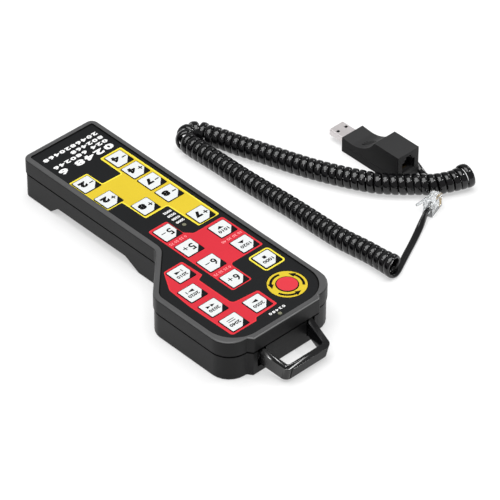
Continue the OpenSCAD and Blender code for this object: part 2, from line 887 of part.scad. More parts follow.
module plug_latch(p) {
    color([0.85, 0.87, 0.88, 0.5])
    plug_place(p)
    translate([latch_x, latch_y, -latch_w / 2]) {
        cylinder(d = latch_t, h = latch_w);
        rotate([0, 0, 180 - latch_rise])
            translate([0, -latch_t / 2, 0])
                cube([latch_len, latch_t, latch_w]);
    }
}

module plug_contacts(p) {
    color([0.85, 0.7, 0.3])
    plug_place(p)
        blades(0);
}

// ---- Nodes ---------------------------------------------------------------------------------

upper_case();
lower_case();
face_overlay();
circuit_board();
tact_switches();
controller_chips();
power_led();
status_led();
cord_socket();
cord_socket_contacts();
case_screws();
board_screws();
hanger_loop();
hanger_pins();
emergency_stop_button();
for (k = KEYS)
    key(k);
adapter_upper_case();
adapter_lower_case();
usb_shell();
usb_tongue();
usb_contacts();
adapter_socket();
adapter_socket_contacts();
adapter_board();
adapter_chip();
cord_coil_near();
cord_coil_bend();
cord_coil_middle();
cord_coil_far();
cord_tail_front();
cord_tail_rear();
plug_body(PLUG_FRONT);  // plug_front
plug_body(PLUG_REAR);  // plug_rear
plug_latch(PLUG_FRONT);  // plug_latch_front
plug_latch(PLUG_REAR);  // plug_latch_rear
plug_contacts(PLUG_FRONT);  // plug_contacts_front
plug_contacts(PLUG_REAR);  // plug_contacts_rear
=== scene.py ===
import math

import bmesh
import bpy
from mathutils import Matrix, Vector


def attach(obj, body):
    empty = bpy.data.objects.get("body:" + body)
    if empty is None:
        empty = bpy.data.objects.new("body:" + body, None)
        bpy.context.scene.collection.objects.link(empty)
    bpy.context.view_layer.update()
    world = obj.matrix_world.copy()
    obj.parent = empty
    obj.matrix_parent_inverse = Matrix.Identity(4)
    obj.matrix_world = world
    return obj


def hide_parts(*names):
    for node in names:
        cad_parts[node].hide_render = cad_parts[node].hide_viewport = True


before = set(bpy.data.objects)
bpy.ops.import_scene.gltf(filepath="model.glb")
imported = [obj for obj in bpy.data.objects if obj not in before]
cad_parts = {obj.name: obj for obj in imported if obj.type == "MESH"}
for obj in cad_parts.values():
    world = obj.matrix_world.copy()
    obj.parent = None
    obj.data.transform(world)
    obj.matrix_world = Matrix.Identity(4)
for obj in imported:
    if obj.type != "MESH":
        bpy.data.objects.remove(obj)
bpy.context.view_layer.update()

# ---- Camera, table and soft light ---------------------------------------------------------
# The pendant lies on a plain white table with its head towards the viewer. A large soft lamp
# hangs over it, and four small ones draw the highlights on its edges, the loop and the coil.

MM = 0.001
CAMERA_PLACE = (1.1216, 1.2579, 1.3997)
CAMERA_TURN = (math.radians(50.555), math.radians(-0.296), math.radians(136.631))
TABLE_SIZE, TABLE_Z = 14, -0.2

bpy.ops.object.camera_add(location=CAMERA_PLACE, rotation=CAMERA_TURN)
camera = bpy.context.object
camera.data.lens = 262.6
camera.data.sensor_width = 36
camera.data.shift_x = -0.0061
camera.data.shift_y = 0.0017
bpy.context.scene.camera = camera

bpy.ops.mesh.primitive_plane_add(size=TABLE_SIZE, location=(0, 0, TABLE_Z * MM))
table_top = bpy.context.object
table_top.name = "table_top"
white = bpy.data.materials.new("table_white")
white.use_nodes = True
paint = white.node_tree.nodes["Principled BSDF"]
for socket, value in (("Base Color", (0.42, 0.42, 0.42, 1)), ("Roughness", 0.9),
                      ("Specular IOR Level", 0.1), ("Emission Color", (1, 1, 1, 1)),
                      ("Emission Strength", 0.5)):
    paint.inputs[socket].default_value = value
table_top.data.materials.append(white)

room = bpy.data.worlds.new("white_room")
bpy.context.scene.world = room
room.use_nodes = True
room.node_tree.nodes["Background"].inputs["Color"].default_value = (1, 1, 1, 1)
room.node_tree.nodes["Background"].inputs["Strength"].default_value = 0.3
bpy.context.scene.view_settings.view_transform = "Standard"

SCENE_MIDDLE, HEAD_MIDDLE = (-0.07, 0, 0), (0, 0.1, 0)
for name, place, aim, size, watts in (
        ("lamp_over", (0.1, -0.1, 1.7), SCENE_MIDDLE, 1.5, 34),
        ("lamp_left", (1.01, 0.2, 1.25), SCENE_MIDDLE, 0.12, 1.8),
        ("lamp_side", (0.83, -0.52, 1.2), SCENE_MIDDLE, 0.12, 1.5),
        ("lamp_back", (-0.77, 0.57, 1.2), SCENE_MIDDLE, 0.13, 3.8),
        ("lamp_low", (-1.15, -0.23, 0.69), HEAD_MIDDLE, 0.2, 1.6)):
    bpy.ops.object.light_add(type="AREA", location=place)
    light = bpy.context.object
    light.name = name
    light.data.shape = "SQUARE"
    light.data.size = size
    light.data.energy = watts
    light.rotation_mode = "QUATERNION"
    light.rotation_quaternion = (Vector(aim) - Vector(place)).to_track_quat("-Z", "Y")

# ---- Curly cord ---------------------------------------------------------------------------
# A flat six-way telephone-style cable in black PVC, wound hot on a rod so that it springs
# back. Each end runs out flat on the table and turns on edge into its plug.

# The coil's middle line from its front end to its rear one, then each tail from the coil to
# its plug: x, y, z and the cable's twist in degrees.
COIL = [[-97.4, 101.2], [-96.9, 90], [-96, 79], [-94.5, 69], [-93, 57], [-92.6, 40],
        [-92.2, 20], [-91, -3], [-90, -24], [-89.8, -44], [-89.2, -60], [-89.2, -67],
        [-89.4, -72], [-90.4, -75.6], [-93, -78.4], [-96.6, -79.3], [-100.2, -78.3],
        [-102.8, -75.6], [-103.9, -72], [-104.8, -67.9], [-106.9, -63], [-111, -49.2],
        [-115.8, -35.7], [-121, -19.8], [-127.2, -2.8], [-133.6, 11.8], [-141, 26.3],
        [-147, 36.1], [-155.8, 46.1], [-164.5, 54.2], [-171, 60.5], [-179, 65], [-186.4, 68],
        [-192.6, 69.6]]
FRONT_TAIL = [[-104.5, 98.5, 1.2, 0], [-110, 95.7, 1.2, 0], [-118, 91.7, 1.2, 0],
              [-127.5, 87, 1.2, 0], [-137, 82.2, 1.8, -15], [-145, 78.2, 3.4, -50],
              [-150, 75.7, 4.6, -80], [-152.5, 74.6, 4.825, -90], [-157.2, 73, 4.825, -90]]
REAR_TAIL = [[-192.5, 61, 1.2, 0], [-188.4, 57, 1.2, 0], [-183.5, 54, 1.2, 0],
             [-179.9, 50, 1.2, 0], [-179.4, 45.5, 1.2, 0], [-180.6, 40.5, 1.8, 15],
             [-181.4, 35.5, 3.4, 50], [-181.6, 31, 4.6, 80], [-181.7, 28.5, 4.825, 90],
             [-181.7, 23.5, 4.825, 90]]
CABLE_W, CABLE_T, CABLE_SIDES, CABLE_STEP = 4.4, 2.2, 12, 1.6
COIL_R, COIL_Z, COIL_STEP, PITCH, TURN_STEPS = 5.62, 6.75, 0.4, 4.75, 18
# The turns stand apart in the hairpin bend and close up at the rear end, and the last few at
# each end are a little wider.
BEND_AT, BEND_REACH, BEND_PITCH = Vector((-96.5, -75, COIL_Z)), 11, 5.3
CLOSE_REACH, CLOSE_BY = 9.5, 0.75
FLARE_TURNS, FRONT_FLARE, REAR_FLARE = 3, 0.8, 1.7


def through(points, step):
    """Points about a step apart on one smooth curve through the given ones."""
    given = [Vector(p) for p in points]
    full = [2 * given[0] - given[1]] + given + [2 * given[-1] - given[-2]]
    made = []
    for a, b, c, d in zip(full, full[1:], full[2:], full[3:]):
        count = max(2, math.ceil((c - b).length / step))
        for k in range(count):
            t = k / count
            made.append(0.5 * (2 * b + (c - a) * t + (2 * a - 5 * b + 4 * c - d) * t * t
                               + (3 * b - a - 3 * c + d) * t ** 3))
    return made + [given[-1]]


def flat_ring(at, along, side):
    """Section of the flat cable at a point: wide along side, thin across it."""
    across = along.cross(side).normalized()
    side = across.cross(along).normalized()
    ring = []
    for k in range(CABLE_SIDES):
        a = 2 * math.pi * (k + 0.5) / CABLE_SIDES
        c, s = math.cos(a), math.sin(a)
        full = (abs(c) ** 3 + abs(s) ** 3) ** (-1 / 3)
        ring.append(at + side * (c * full * CABLE_W / 2) + across * (s * full * CABLE_T / 2))
    return ring


def tail(start, lean, points):
    """Middle points of a tail and their twists, led in from the coil's last point."""
    line = through([p[:3] for p in points], CABLE_STEP)
    twists = []
    for p, q in zip(points, points[1:]):
        count = max(2, math.ceil((Vector(q[:3]) - Vector(p[:3])).length / CABLE_STEP))
        twists += [p[3] + (q[3] - p[3]) * k / count for k in range(count)]
    twists.append(points[-1][3])
    lead = through([start, start + Vector(lean), line[0]], CABLE_STEP)[1:-1]
    return [(p, 0) for p in lead] + list(zip(line, twists))


centres = through([(x, y, COIL_Z) for x, y in COIL], COIL_STEP)
reach = [0.0]
for a, b in zip(centres, centres[1:]):
    reach.append(reach[-1] + (b - a).length)
turned = [0.0]
for a, b in zip(centres, centres[1:]):
    bent = math.exp(-(((a + b) / 2 - BEND_AT).length / BEND_REACH) ** 4)
    closed = CLOSE_BY if reach[-1] - reach[len(turned)] < CLOSE_REACH else 0
    turned.append(turned[-1] + (b - a).length / (PITCH + (BEND_PITCH - PITCH) * bent - closed))
turns_in_all = round(turned[-1])
scale = turns_in_all / turned[-1]

helix = []
sides = []
i = 0
for k in range(turns_in_all * TURN_STEPS + 1):
    want = k / TURN_STEPS
    while i < len(turned) - 2 and turned[i + 1] * scale < want:
        i += 1
    t = (want / scale - turned[i]) / (turned[i + 1] - turned[i])
    at = centres[i].lerp(centres[i + 1], min(max(t, 0), 1))
    ahead = (centres[i + 1] - centres[i]).normalized()
    left = Vector((0, 0, 1)).cross(ahead)
    a = 2 * math.pi * want
    r = (COIL_R + max(0, (want - turns_in_all + FLARE_TURNS) / FLARE_TURNS) ** 2 * REAR_FLARE
         + max(0, 1 - want / FLARE_TURNS) ** 2 * FRONT_FLARE)
    out = Vector((0, 0, -1)) * math.cos(a) + left * math.sin(a)
    helix.append(at + Vector((0, 0, r - COIL_R)) + out * r)
    sides.append((out, ahead))

front = tail(helix[0], (-3.2, -0.9, 0.03), FRONT_TAIL)
rear = tail(helix[-1], (-0.9, -3.4, 0.03), REAR_TAIL)
route = [p for p, t in reversed(rear)] + list(reversed(helix)) + [p for p, t in front]
twist = [t for p, t in reversed(rear)] + [None] * len(helix) + [t for p, t in front]
outs = [None] * len(rear) + list(reversed(sides)) + [None] * len(front)
rings = []
for k, at in enumerate(route):
    along = (route[min(k + 1, len(route) - 1)] - route[max(k - 1, 0)]).normalized()
    if outs[k]:
        out, ahead = outs[k]
        rings.append(flat_ring(at, along, out.cross(along)))
    else:
        level = Vector((-along.y, along.x, 0)).normalized()
        sign = 1 if k < len(rear) else -1
        turn = Matrix.Rotation(math.radians(twist[k]) * sign, 3, along)
        rings.append(flat_ring(at, along, turn @ level))
# Each ring starts at the corner nearest to where the last one started, so no face twists.
n = CABLE_SIDES
for k in range(1, len(rings)):
    best = min(range(n), key=lambda s: sum((rings[k][(j + s) % n] - rings[k - 1][j]).length
                                           for j in range(0, n, 3)))
    rings[k] = rings[k][best:] + rings[k][:best]
points = [p * MM for ring in rings for p in ring]
faces = [(a * n + j, a * n + (j + 1) % n, a * n + n + (j + 1) % n, a * n + n + j)
         for a in range(len(rings) - 1) for j in range(n)]
faces += [tuple(range(n - 1, -1, -1)), tuple(range(len(points) - n, len(points)))]
mesh = bpy.data.meshes.new("curly_cord")
mesh.from_pydata(points, [], faces)
curly_cord = bpy.data.objects.new("curly_cord", mesh)
bpy.context.scene.collection.objects.link(curly_cord)


def focus(piece):
    """Makes one piece the only one that is selected, and the active one."""
    bpy.ops.object.select_all(action="DESELECT")
    piece.select_set(True)
    bpy.context.view_layer.objects.active = piece


focus(curly_cord)
bpy.ops.object.mode_set(mode="EDIT")
bpy.ops.mesh.select_all(action="SELECT")
bpy.ops.mesh.normals_make_consistent(inside=False)
bpy.ops.object.mode_set(mode="OBJECT")
bpy.ops.object.shade_smooth()

# The grain that every moulded piece of the set has, with faint clouds of wear.
grain = bpy.data.node_groups.new("moulded_grain", "ShaderNodeTree")
grain.interface.new_socket("Colour", in_out="INPUT", socket_type="NodeSocketColor")
for name in ("Shade", "Roughness", "Spread", "Fineness", "Relief"):
    grain.interface.new_socket(name, in_out="INPUT", socket_type="NodeSocketFloat")
grain.interface.new_socket("Colour", in_out="OUTPUT", socket_type="NodeSocketColor")
grain.interface.new_socket("Roughness", in_out="OUTPUT", socket_type="NodeSocketFloat")
grain.interface.new_socket("Normal", in_out="OUTPUT", socket_type="NodeSocketVector")


def wire(tree, a, out, b, into):
    """Links a named output of one node to a named input of another."""
    tree.links.new(a.outputs[out], b.inputs[into])


def sum_node(tree, operation, **values):
    """Math node; a value called _1 is the plain number in its input 1."""
    node = tree.nodes.new("ShaderNodeMath")
    node.operation = operation
    for slot, value in values.items():
        node.inputs[int(slot[1:])].default_value = value
    return node


given = grain.nodes.new("NodeGroupInput")
sent = grain.nodes.new("NodeGroupOutput")
where = grain.nodes.new("ShaderNodeTexCoord")
fine = grain.nodes.new("ShaderNodeTexNoise")
fine.inputs["Detail"].default_value = 2
wire(grain, where, "Object", fine, "Vector")
wire(grain, given, "Fineness", fine, "Scale")
cloud = grain.nodes.new("ShaderNodeTexNoise")
cloud.inputs["Scale"].default_value = 38
cloud.inputs["Detail"].default_value = 5
wire(grain, where, "Object", cloud, "Vector")
both = sum_node(grain, "ADD")
wire(grain, fine, "Fac", both, 0)
wire(grain, cloud, "Fac", both, 1)
offset = sum_node(grain, "SUBTRACT", _1=1.0)
wire(grain, both, 0, offset, 0)
shade = sum_node(grain, "MULTIPLY")
wire(grain, offset, 0, shade, 0)
wire(grain, given, "Shade", shade, 1)
light = sum_node(grain, "ADD", _1=1.0)
wire(grain, shade, 0, light, 0)
tint = grain.nodes.new("ShaderNodeVectorMath")
tint.operation = "SCALE"
wire(grain, given, "Colour", tint, 0)
wire(grain, light, 0, tint, "Scale")
wire(grain, tint, 0, sent, "Colour")
rub = sum_node(grain, "SUBTRACT", _1=0.5)
wire(grain, cloud, "Fac", rub, 0)
rubbed = sum_node(grain, "MULTIPLY_ADD")
wire(grain, rub, 0, rubbed, 0)
wire(grain, given, "Spread", rubbed, 1)
wire(grain, given, "Roughness", rubbed, 2)
wire(grain, rubbed, 0, sent, "Roughness")
relief = grain.nodes.new("ShaderNodeBump")
relief.inputs["Distance"].default_value = 0.1 * MM
wire(grain, given, "Relief", relief, "Strength")
wire(grain, fine, "Fac", relief, "Height")
wire(grain, relief, "Normal", sent, "Normal")


def grained(name, colour, roughness, shade=0.15, spread=0.15, fineness=2600, relief=0.25, **more):
    """Material with the shared grain; more holds plain values for the shader's own sockets."""
    made = bpy.data.materials.new(name)
    made.use_nodes = True
    tree = made.node_tree
    shader = tree.nodes["Principled BSDF"]
    effect = tree.nodes.new("ShaderNodeGroup")
    effect.node_tree = grain
    for socket, value in (("Colour", (*colour, 1)), ("Shade", shade), ("Roughness", roughness),
                          ("Spread", spread), ("Fineness", fineness), ("Relief", relief)):
        effect.inputs[socket].default_value = value
    for given_out, taken_in in (("Colour", "Base Color"), ("Roughness", "Roughness"),
                                ("Normal", "Normal")):
        wire(tree, effect, given_out, shader, taken_in)
    for socket, value in more.items():
        shader.inputs[socket.replace("_", " ")].default_value = value
    return made


def dress(piece, *materials):
    """Gives a piece its materials, in the order of its slots."""
    piece.data.materials.clear()
    for material in materials:
        piece.data.materials.append(material)
    return piece


dress(curly_cord, grained("cord_pvc", (0.003, 0.003, 0.0035), 0.09, fineness=900, relief=0.03,
                          Specular_IOR_Level=0.5))
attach(curly_cord, "pendant")
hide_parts("cord_coil_near", "cord_coil_bend", "cord_coil_middle", "cord_coil_far",
            "cord_tail_front", "cord_tail_rear")

# ---- Upper shell --------------------------------------------------------------------------
# Moulded in dark grey ABS with a fine spark-eroded grain. A rim stands round the recess that
# the printed face is stuck into, and a plinth for the hanger grows out of the end wall.

HALF_W, HANDLE_X, HANDLE_END, HANDLE_R, HEAD_END, HEAD_R = 44, 13.5, -110.5, 5, 106.5, 14
PLINTH_HALF_W, PLINTH_FOOT_HALF_W, PLINTH_END, PLINTH_R = 26.5, 28.9, 109.8, 0.8
SEAM_Z, TOP_Z, FACE_Z, DECK_Z, WALL = 18.4, 28.8, 27.2, 25, 2.2
RIM_W, FACE_END, FACE_R, RIM_ROUND, EDGE_ROUND = 3.5, 106, 19, 1.2, 0.25
# The rim's top above this height gets a lighter, glossier grey: a painted highlight.
RIM_HIGHLIGHT_Z = 28.2


def body_corners(end, end_r):
    """Plan of the case without its plinth: x, y and radius of each corner, anticlockwise."""
    return [(-HALF_W, HANDLE_END, HANDLE_R), (HANDLE_X, HANDLE_END, HANDLE_R),
            (HANDLE_X, 11.5, 6), (HALF_W, 42, 11), (HALF_W, end, end_r), (-HALF_W, end, end_r)]


def case_corners():
    """Plan of the case with the plinth on its end wall."""
    body = body_corners(HEAD_END, HEAD_R)
    plinth = [(PLINTH_FOOT_HALF_W, HEAD_END, PLINTH_R), (PLINTH_HALF_W, PLINTH_END, PLINTH_R),
              (-PLINTH_HALF_W, PLINTH_END, PLINTH_R), (-PLINTH_FOOT_HALF_W, HEAD_END, PLINTH_R)]
    return body[:5] + plinth + body[5:]


def moved_in(corners, by):
    """The same corners with every edge moved inwards."""
    made = []
    for k, (x, y, r) in enumerate(corners):
        here = Vector((x, y))
        before = (here - Vector(corners[k - 1][:2])).normalized()
        after = (Vector(corners[(k + 1) % len(corners)][:2]) - here).normalized()
        left = Vector((-before.y - after.y, before.x + after.x))
        at = here + left * by / (1 + before.dot(after))
        side = 1 if before.x * after.y - before.y * after.x > 0 else -1
        made.append((at.x, at.y, max(r - side * by, 0)))
    return made


def pick(piece, kind, test):
    """Selects, in edit mode, each corner, edge or face that passes a test of its middle in mm.

    The test of an edge also gets the edge's direction, and that of a face its normal.
    """
    bpy.ops.mesh.select_mode(type=kind)
    bpy.ops.mesh.select_all(action="DESELECT")
    shape = bmesh.from_edit_mesh(piece.data)
    for part in {"VERT": shape.verts, "EDGE": shape.edges, "FACE": shape.faces}[kind]:
        if kind == "VERT":
            yes = test(part.co / MM)
        elif kind == "EDGE":
            yes = test((part.verts[0].co + part.verts[1].co) / 2 / MM,
                       (part.verts[1].co - part.verts[0].co).normalized())
        else:
            yes = test(part.calc_center_median() / MM, part.normal)
        if yes:
            part.select_set(True)
    shape.select_flush(True)
    bmesh.update_edit_mesh(piece.data)


def flat_at(z):
    """Places the corners of an outline level, at a height."""
    return lambda a, b: Vector((a, b, z))


def drawn(name, corners, place, arc=6):
    """Flat sheet, drawn corner by corner as an outline and filled.

    Corners are a, b and radius in mm, place puts a and b in space, and arc is the number of
    edges round a square corner.
    """
    bpy.ops.object.select_all(action="DESELECT")
    bpy.ops.mesh.primitive_plane_add(size=MM, location=(0, 0, 0))
    sheet = bpy.context.object
    sheet.name = name
    spots = [place(c[0], c[1]) for c in corners]
    bpy.ops.object.mode_set(mode="EDIT")
    pick(sheet, "VERT", lambda c: c.x > 0 or c.y > 0)
    bpy.ops.mesh.delete(type="VERT")
    bpy.ops.mesh.select_all(action="SELECT")
    corner = bmesh.from_edit_mesh(sheet.data).verts[:][0].co.copy()
    bpy.ops.transform.translate(value=spots[0] * MM - corner)
    for a, b in zip(spots, spots[1:] + spots[:1]):
        bpy.ops.mesh.extrude_vertices_move(TRANSFORM_OT_translate={"value": (b - a) * MM})
    bpy.ops.mesh.select_all(action="SELECT")
    bpy.ops.mesh.remove_doubles(threshold=0.001 * MM)
    bpy.ops.mesh.select_all(action="SELECT")
    bpy.ops.mesh.edge_face_add()
    for k, c in enumerate(corners):
        if len(c) > 2 and c[2] > 0:
            before = (spots[k] - spots[k - 1]).normalized()
            after = (spots[(k + 1) % len(spots)] - spots[k]).normalized()
            turn = before.angle(after)
            pick(sheet, "VERT", lambda v, at=spots[k]: (v - at).length < 0.001)
            bpy.ops.mesh.bevel(offset_type="OFFSET", offset=c[2] * math.tan(turn / 2) * MM,
                               segments=max(2, round(arc * turn / 1.57)), affect="VERTICES",
                               clamp_overlap=False)
    bpy.ops.object.mode_set(mode="OBJECT")
    return sheet


def thicken(piece, by):
    """Pulls a flat sheet into a closed block along the vector by, in mm."""
    focus(piece)
    bpy.ops.object.mode_set(mode="EDIT")
    bpy.ops.mesh.select_all(action="SELECT")
    bpy.ops.mesh.extrude_region_move(TRANSFORM_OT_translate={"value": Vector(by) * MM})
    bpy.ops.mesh.select_all(action="SELECT")
    bpy.ops.mesh.normals_make_consistent(inside=False)
    if bmesh.from_edit_mesh(piece.data).calc_volume(signed=True) < 0:
        bpy.ops.mesh.flip_normals()
    bpy.ops.object.mode_set(mode="OBJECT")
    return piece


def block(name, low, high):
    """Square block between two corners in mm, as a start or a cutting tool."""
    bpy.ops.object.select_all(action="DESELECT")
    size = Vector(high) - Vector(low)
    bpy.ops.mesh.primitive_cube_add(size=1, location=(Vector(low) + size / 2) * MM)
    made = bpy.context.object
    made.name = name
    made.scale = size * MM
    bpy.ops.object.transform_apply(location=True, rotation=True, scale=True)
    return made


def rod(name, centre, radius, length, axis="Z", sides=32):
    """Round bar about a centre in mm, as a start or a cutting tool."""
    bpy.ops.object.select_all(action="DESELECT")
    turn = {"X": (0, math.pi / 2, 0), "Y": (math.pi / 2, 0, 0), "Z": (0, 0, 0)}[axis]
    bpy.ops.mesh.primitive_cylinder_add(vertices=sides, radius=radius * MM, depth=length * MM,
                                        location=Vector(centre) * MM, rotation=turn)
    made = bpy.context.object
    made.name = name
    bpy.ops.object.transform_apply(location=True, rotation=True, scale=True)
    return made


def joined(name, pieces):
    """Makes the pieces one, under a name."""
    bpy.ops.object.select_all(action="DESELECT")
    for piece in pieces:
        piece.select_set(True)
    bpy.context.view_layer.objects.active = pieces[0]
    if len(pieces) > 1:
        bpy.ops.object.join()
    pieces[0].name = name
    return pieces[0]


def carve(piece, *tools, how="DIFFERENCE"):
    """Cuts the tools out of the piece, or welds them on, and throws the tools away."""
    for tool in tools:
        focus(piece)
        cut = piece.modifiers.new("cut", "BOOLEAN")
        cut.operation = how
        cut.solver = "EXACT"
        cut.object = tool
        bpy.ops.object.modifier_apply(modifier="cut")
        bpy.data.objects.remove(tool)
    return piece


def soften(piece, width, steps=2, angle=35, smooth=32):
    """Breaks the sharp edges with a small radius and shades the rounds smooth."""
    focus(piece)
    edge = piece.modifiers.new("edge", "BEVEL")
    edge.width = width * MM
    edge.segments = steps
    edge.limit_method = "ANGLE"
    edge.angle_limit = math.radians(angle)
    edge.miter_outer = "MITER_SHARP"
    bpy.ops.object.modifier_apply(modifier="edge")
    bpy.ops.object.shade_smooth_by_angle(angle=math.radians(smooth))
    return faired(piece)


def faired(piece):
    """Lets the large faces decide the shading, so that only the rounds look round."""
    focus(piece)
    piece.modifiers.new("fair", "WEIGHTED_NORMAL").keep_sharp = True
    bpy.ops.object.modifier_apply(modifier="fair")
    return piece


def second_finish(piece):
    """Gives the picked faces the piece's second material, and leaves edit mode."""
    piece.active_material_index = 1
    bpy.ops.object.material_slot_assign()
    bpy.ops.object.mode_set(mode="OBJECT")


case_plastic = grained("case_plastic", (0.0095, 0.0095, 0.01), 0.4, Specular_IOR_Level=0.18)
# A lighter, glossier grey for the rim's top: painted highlight.
rim_highlight_plastic = grained("rim_highlight_plastic", (0.066, 0.066, 0.067), 0.32, Specular_IOR_Level=0.4)
upper = thicken(drawn("upper_shell", case_corners(), flat_at(SEAM_Z)), (0, 0, TOP_Z - SEAM_Z))
bpy.ops.object.mode_set(mode="EDIT")
pick(upper, "FACE", lambda c, n: n.z > 0.9)
bpy.ops.mesh.region_to_loop()
bpy.ops.mesh.bevel(offset=RIM_ROUND * MM, segments=3, profile=0.5, affect="EDGES",
                   clamp_overlap=False)
bpy.ops.object.mode_set(mode="OBJECT")
inner = moved_in(body_corners(HEAD_END, HEAD_R), WALL)
face_plan = body_corners(FACE_END + RIM_W, FACE_R + RIM_W)
carve(upper, thicken(drawn("recess", moved_in(face_plan, RIM_W), flat_at(FACE_Z), 10), (0, 0, 4)))
carve(upper, thicken(drawn("hollow", inner, flat_at(SEAM_Z - 1)), (0, 0, DECK_Z - SEAM_Z + 1)))
soften(upper, EDGE_ROUND)
dress(upper, case_plastic, rim_highlight_plastic)
# The rim's upward faces above that height take the lighter grey, a painted highlight.
bpy.ops.object.mode_set(mode="EDIT")
pick(upper, "FACE", lambda c, n: n.z > 0.2 and c.z > RIM_HIGHLIGHT_Z)
second_finish(upper)
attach(upper, "pendant")
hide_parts("upper_case")

# ---- Lower shell --------------------------------------------------------------------------
# The same ABS, standing in a little at the seam. Its underside has a finger recess below the
# handle, seven sunk screws, two pockets for the hanger and a window for the cord's socket.

LOWER_STEP, UNDER_ROUND = 0.6, 0.9
GROOVE_FAR, GROOVE_NEAR, GROOVE_DEPTH, GROOVE_R = -86, -4, 6.5, 3
SCREWS = [(-36, -103), (5.5, -103), (-38, 8), (8.5, 10), (36, 50), (36, 97), (-36, 97)]
BOSS_R, SUNK_R, CLEAR_R = 3.5, 2.9, 1.7
POCKETS, POCKET_W, POCKET_FROM, POCKET_LOW, POCKET_TOP = (-22.9, 16.4), 6.5, 99.4, 5, 17.3
SOCKET_X, MOUTH_W, MOUTH_H, MOUTH_GAP = -15, 10.25, 7.2, 0.2
REVEAL_H = 1.7

lower_corners = moved_in(case_corners(), LOWER_STEP)
lower = thicken(drawn("lower_shell", lower_corners, flat_at(0)), (0, 0, SEAM_Z))
bpy.ops.object.mode_set(mode="EDIT")
pick(lower, "FACE", lambda c, n: n.z < -0.9)
bpy.ops.mesh.region_to_loop()
bpy.ops.mesh.bevel(offset=UNDER_ROUND * MM, segments=2, profile=0.5, affect="EDGES",
                   clamp_overlap=False)
bpy.ops.object.mode_set(mode="OBJECT")


def finger_groove(grown):
    """Sloping-ended groove across the handle's underside; grown makes the wall over it."""
    far, near, deep = GROOVE_FAR - grown, GROOVE_NEAR + grown, GROOVE_DEPTH + grown
    ends = [(far, -1, 0), (far, 0, 0), (far + 7.5, deep, GROOVE_R), (near - 13, deep, GROOVE_R),
            (near, 0, 0), (near, -1, 0)]
    return thicken(drawn("groove", ends, lambda a, b: Vector((-60, a, b))), (100, 0, 0))


hollow = thicken(drawn("hollow", moved_in(inner, LOWER_STEP), flat_at(WALL)), (0, 0, 20))
carve(hollow, finger_groove(WALL))
for low in POCKETS:
    carve(hollow, block("wall_round_pocket", (low - 3, POCKET_FROM - WALL, 0),
                        (low + POCKET_W + 3, 120, 18.2)))
carve(lower, hollow, finger_groove(0))
for x, y in SCREWS:
    carve(lower, rod("boss", (x, y, 9.7), BOSS_R, 17.4), how="UNION")
for x, y in SCREWS:
    carve(lower, rod("sunk", (x, y, 2), SUNK_R, 8.02), rod("clear", (x, y, 12), CLEAR_R, 20))
for low in POCKETS:
    carve(lower, block("pocket", (low, POCKET_FROM, POCKET_LOW), (low + POCKET_W, 115, POCKET_TOP)))


def mouth_cutter(name, x, y, z, depth, side):
    """Socket's square mouth with its two-step keyway, starting at y and running along side."""
    g = MOUTH_GAP
    y0, y1 = sorted((y, y + side * depth))
    half = [(MOUTH_W / 2 + g, -g), (MOUTH_W / 2 + g, MOUTH_H + g), (3.1 + g, MOUTH_H + g),
            (3.1 + g, MOUTH_H + 1.8), (1.8 + g, MOUTH_H + 1.8), (1.8 + g, MOUTH_H + 3.4 + g)]
    outline = [(-half[0][0], -g)] + half + [(-a, b) for a, b in half[:0:-1]]
    return thicken(drawn(name, outline, lambda a, b: Vector((x + a, y0, z + b))), (0, y1 - y0, 0))


carve(lower, mouth_cutter("window", SOCKET_X, -112, 4.2, 5, 1))
reveal = drawn("reveal", moved_in(lower_corners, -1), flat_at(SEAM_Z - REVEAL_H))
thicken(reveal, (0, 0, 3))
core = drawn("reveal_core", moved_in(lower_corners, 0.7), flat_at(SEAM_Z - REVEAL_H - 0.3))
carve(reveal, thicken(core, (0, 0, 4)))
carve(lower, reveal)
soften(lower, EDGE_ROUND)
dress(lower, case_plastic)
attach(lower, "pendant")
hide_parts("lower_case")

# ---- Printed face -------------------------------------------------------------------------
# A one-millimetre polycarbonate overlay, printed from behind and stuck into the recess. Its
# yellow and red fields group the keys, and small white and pink numbers mark them.

FILM_Z, INK_T = 28.2, 0.04
INK_TOP = FILM_Z + INK_T
film = grained("overlay_film", (0.0055, 0.0059, 0.0066), 0.5, shade=0.1, spread=0.1, fineness=5200,
               relief=0.12, Specular_IOR_Level=0.16)
dress(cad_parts["face_overlay"], film)

# Each key's name and the x and y of its middle.
KEYS = [("key_a_minus", -29, -69), ("key_a_plus", -29, -54), ("key_y_minus", -29, -39),
        ("key_x_minus", -29, -23.5), ("key_y_plus", -29, 4.5), ("key_speed_down", -29, 23.5),
        ("key_speed_up", -29, 42.7), ("key_stop", -29, 62), ("key_z_minus", 2.2, -63.6),
        ("key_z_plus", 2.2, -43.5), ("key_x_plus", -9.8, -23.5), ("key_jog_down", -2.5, 4),
        ("key_jog_up", -2.5, 23.2), ("key_feed_down", -2.5, 42.4), ("key_feed_up", -2.5, 62),
        ("key_origin", 17.5, 37.7), ("key_single_step", 24.4, 55.2), ("key_redo", 24.4, 72.9),
        ("key_spindle", 24.4, 90.5), ("key_cycle_start", 2.9, 87.5)]
STOP_X, STOP_Y, STOP_R = -21.8, 86.9, 6.85
KEY_W, KEY_R, GAP = 13, 1, 0.25


def square(name, x, y, side, radius, z):
    """Flat square sheet with rounded corners."""
    h = side / 2
    return drawn(name, [(x - h, y - h, radius), (x + h, y - h, radius), (x + h, y + h, radius),
                        (x - h, y + h, radius)], flat_at(z), 4)


def copied(piece, name):
    """Copy of a piece with a mesh of its own."""
    twin = piece.copy()
    twin.data = piece.data.copy()
    twin.name = name
    twin.data.name = name
    bpy.context.scene.collection.objects.link(twin)
    return twin


def placed(piece, place, turn=(0, 0, 0)):
    """Turns and moves a piece and writes that into its mesh; place in mm."""
    focus(piece)
    piece.rotation_euler = turn
    piece.location = Vector(place) * MM
    bpy.ops.object.transform_apply(location=True, rotation=True, scale=True)
    return piece


